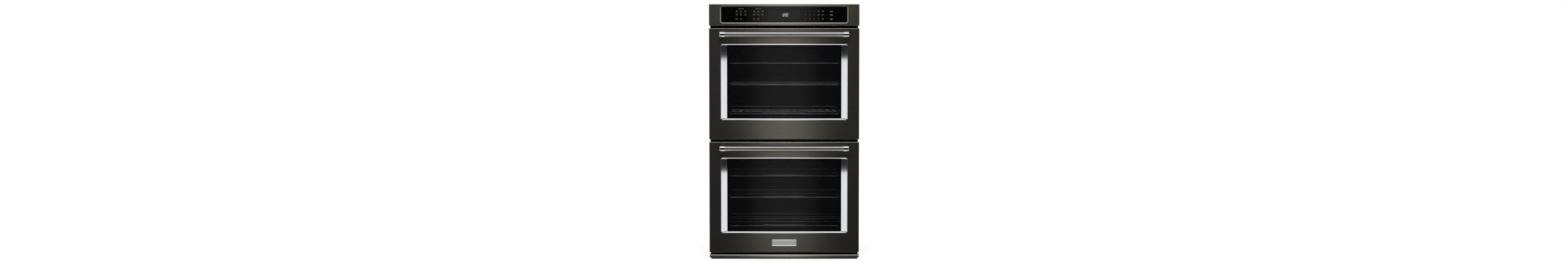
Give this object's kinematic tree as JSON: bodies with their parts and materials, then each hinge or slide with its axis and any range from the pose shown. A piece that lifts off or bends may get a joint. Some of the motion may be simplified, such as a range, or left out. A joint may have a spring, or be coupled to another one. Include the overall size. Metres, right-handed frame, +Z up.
{
  "type": "double wall oven",
  "caption": "Built-in double wall oven with a touch control panel over two drop-down doors, windows in polished frames, bar handles, sliding wire racks and convection fans.",
  "frame": {"origin": "middle of the cabinet's face at the level of the shelf that the oven stands on", "axes": "+X to the right seen from the room, +Y into the cabinet, +Z up"},
  "size_m": [0.756, 0.7128, 1.287],
  "materials": {
    "black_stainless": "fine horizontal brush, dark tint",
    "polished_chrome": "mirror polish",
    "satin_steel": "knurled satin",
    "badge_metal": "satin",
    "black_paint": "satin black",
    "galvanised_sheet": "zinc spangle",
    "black_enamel": "glossy porcelain enamel",
    "mineral_wool": "matted",
    "element_sheath": "oxidised",
    "baffle_enamel": "semi-gloss enamel",
    "bright_steel": "plated",
    "motor_steel": "zinc plated",
    "lamp_glass": "pressed clear glass",
    "white_ceramic": "glazed",
    "woven_gasket": "braided glass fibre",
    "tinted_glass": "dark tint",
    "clear_glass": "heat-reflecting",
    "control_glass": "black printed",
    "circuit_board": "solder mask",
    "black_plastic": "moulded",
    "chrome_wire": "plated wire"
  },
  "bodies": {
    "chassis": {"left_side_panel": "galvanised_sheet", "right_side_panel": "galvanised_sheet", "top_cover": "galvanised_sheet", "base_pan": "galvanised_sheet", "rear_cover": "galvanised_sheet", "conduit_plate": "galvanised_sheet", "front_frame": "black_paint", "service_deck": "galvanised_sheet", "insulation": "mineral_wool", "broil_elements": "element_sheath", "bake_elements": "element_sheath", "convection_rings": "element_sheath", "fan_baffles": "baffle_enamel", "fan_motors": "motor_steel", "lamp_lenses": "lamp_glass", "lamp_sockets": "white_ceramic", "temperature_probes": "bright_steel", "door_gaskets": "woven_gasket", "hinge_receivers": "motor_steel", "hinge_levers": "bright_steel", "latch_bases": "motor_steel", "control_bezel": "black_stainless", "control_glass": "control_glass", "display_board": "circuit_board", "control_tray": "galvanised_sheet", "relay_board": "circuit_board", "blower_housing": "galvanised_sheet", "blower_motor": "motor_steel", "base_trim": "black_stainless", "base_strip": "black_plastic", "upper_cavity": "black_enamel", "lower_cavity": "black_enamel"},
    "blower_wheel": {"blower_wheel": "motor_steel"},
    "upper_top_rack": {"upper_top_rack": "chrome_wire"},
    "upper_middle_rack": {"upper_middle_rack": "chrome_wire"},
    "upper_bottom_rack": {"upper_bottom_rack": "chrome_wire"},
    "upper_door": {"upper_door_skin": "black_stainless", "upper_door_liner": "black_enamel", "upper_window_trim": "polished_chrome", "upper_outer_glass": "tinted_glass", "upper_inner_glass": "clear_glass", "upper_handle_bar": "satin_steel", "upper_handle_mounts": "polished_chrome", "upper_hinge_channels": "motor_steel"},
    "upper_fan": {"upper_fan": "bright_steel"},
    "upper_latch": {"upper_latch_hook": "bright_steel"},
    "lower_top_rack": {"lower_top_rack": "chrome_wire"},
    "lower_middle_rack": {"lower_middle_rack": "chrome_wire"},
    "lower_bottom_rack": {"lower_bottom_rack": "chrome_wire"},
    "lower_door": {"lower_door_skin": "black_stainless", "lower_door_liner": "black_enamel", "lower_window_trim": "polished_chrome", "lower_outer_glass": "tinted_glass", "lower_inner_glass": "clear_glass", "lower_handle_bar": "satin_steel", "lower_handle_mounts": "polished_chrome", "lower_hinge_channels": "motor_steel", "badge_plate": "badge_metal"},
    "lower_fan": {"lower_fan": "bright_steel"},
    "lower_latch": {"lower_latch_hook": "bright_steel"}
  },
  "joints": [
    {"name": "upper_door_hinge", "type": "hinge", "parent": "chassis", "child": "upper_door", "pos_m": [0, -0.028, 0.627], "axis": [1, 0, 0], "range_deg": [0, 90], "stiffness_Nm_per_rad": 15, "springref_deg": -28.65},
    {"name": "upper_top_rack_slide", "type": "slide", "parent": "chassis", "child": "upper_top_rack", "axis": [0, -1, 0], "range_m": [0, 0.2]},
    {"name": "upper_middle_rack_slide", "type": "slide", "parent": "chassis", "child": "upper_middle_rack", "axis": [0, -1, 0], "range_m": [0, 0.2]},
    {"name": "upper_bottom_rack_slide", "type": "slide", "parent": "chassis", "child": "upper_bottom_rack", "axis": [0, -1, 0], "range_m": [0, 0.2]},
    {"name": "upper_fan_spin", "type": "hinge", "parent": "chassis", "child": "upper_fan", "pos_m": [0, 0.47, 0.9], "axis": [0, 1, 0], "continuous": true},
    {"name": "upper_latch_swing", "type": "hinge", "parent": "chassis", "child": "upper_latch", "pos_m": [0, 0.055, 1.135], "axis": [0, 0, 1], "range_deg": [0, 15]},
    {"name": "lower_door_hinge", "type": "hinge", "parent": "chassis", "child": "lower_door", "pos_m": [0, -0.028, 0.0545], "axis": [1, 0, 0], "range_deg": [0, 90], "stiffness_Nm_per_rad": 15, "springref_deg": -28.65},
    {"name": "lower_top_rack_slide", "type": "slide", "parent": "chassis", "child": "lower_top_rack", "axis": [0, -1, 0], "range_m": [0, 0.2]},
    {"name": "lower_middle_rack_slide", "type": "slide", "parent": "chassis", "child": "lower_middle_rack", "axis": [0, -1, 0], "range_m": [0, 0.2]},
    {"name": "lower_bottom_rack_slide", "type": "slide", "parent": "chassis", "child": "lower_bottom_rack", "axis": [0, -1, 0], "range_m": [0, 0.2]},
    {"name": "lower_fan_spin", "type": "hinge", "parent": "chassis", "child": "lower_fan", "pos_m": [0, 0.47, 0.3275], "axis": [0, 1, 0], "continuous": true},
    {"name": "lower_latch_swing", "type": "hinge", "parent": "chassis", "child": "lower_latch", "pos_m": [0, 0.055, 0.5625], "axis": [0, 0, 1], "range_deg": [0, 15]},
    {"name": "blower_spin", "type": "hinge", "parent": "chassis", "child": "blower_wheel", "pos_m": [0, 0.4676, 1.1937], "axis": [1, 0, 0], "continuous": true}
  ],
  "couplings": [
    {"joint": "upper_top_rack_slide", "follows": "upper_door_hinge", "m_per_rad": 0.1273},
    {"joint": "upper_middle_rack_slide", "follows": "upper_door_hinge", "m_per_rad": 0.1273},
    {"joint": "upper_bottom_rack_slide", "follows": "upper_door_hinge", "m_per_rad": 0.1273},
    {"joint": "lower_top_rack_slide", "follows": "lower_door_hinge", "m_per_rad": 0.1273},
    {"joint": "lower_middle_rack_slide", "follows": "lower_door_hinge", "m_per_rad": 0.1273},
    {"joint": "lower_bottom_rack_slide", "follows": "lower_door_hinge", "m_per_rad": 0.1273}
  ]
}
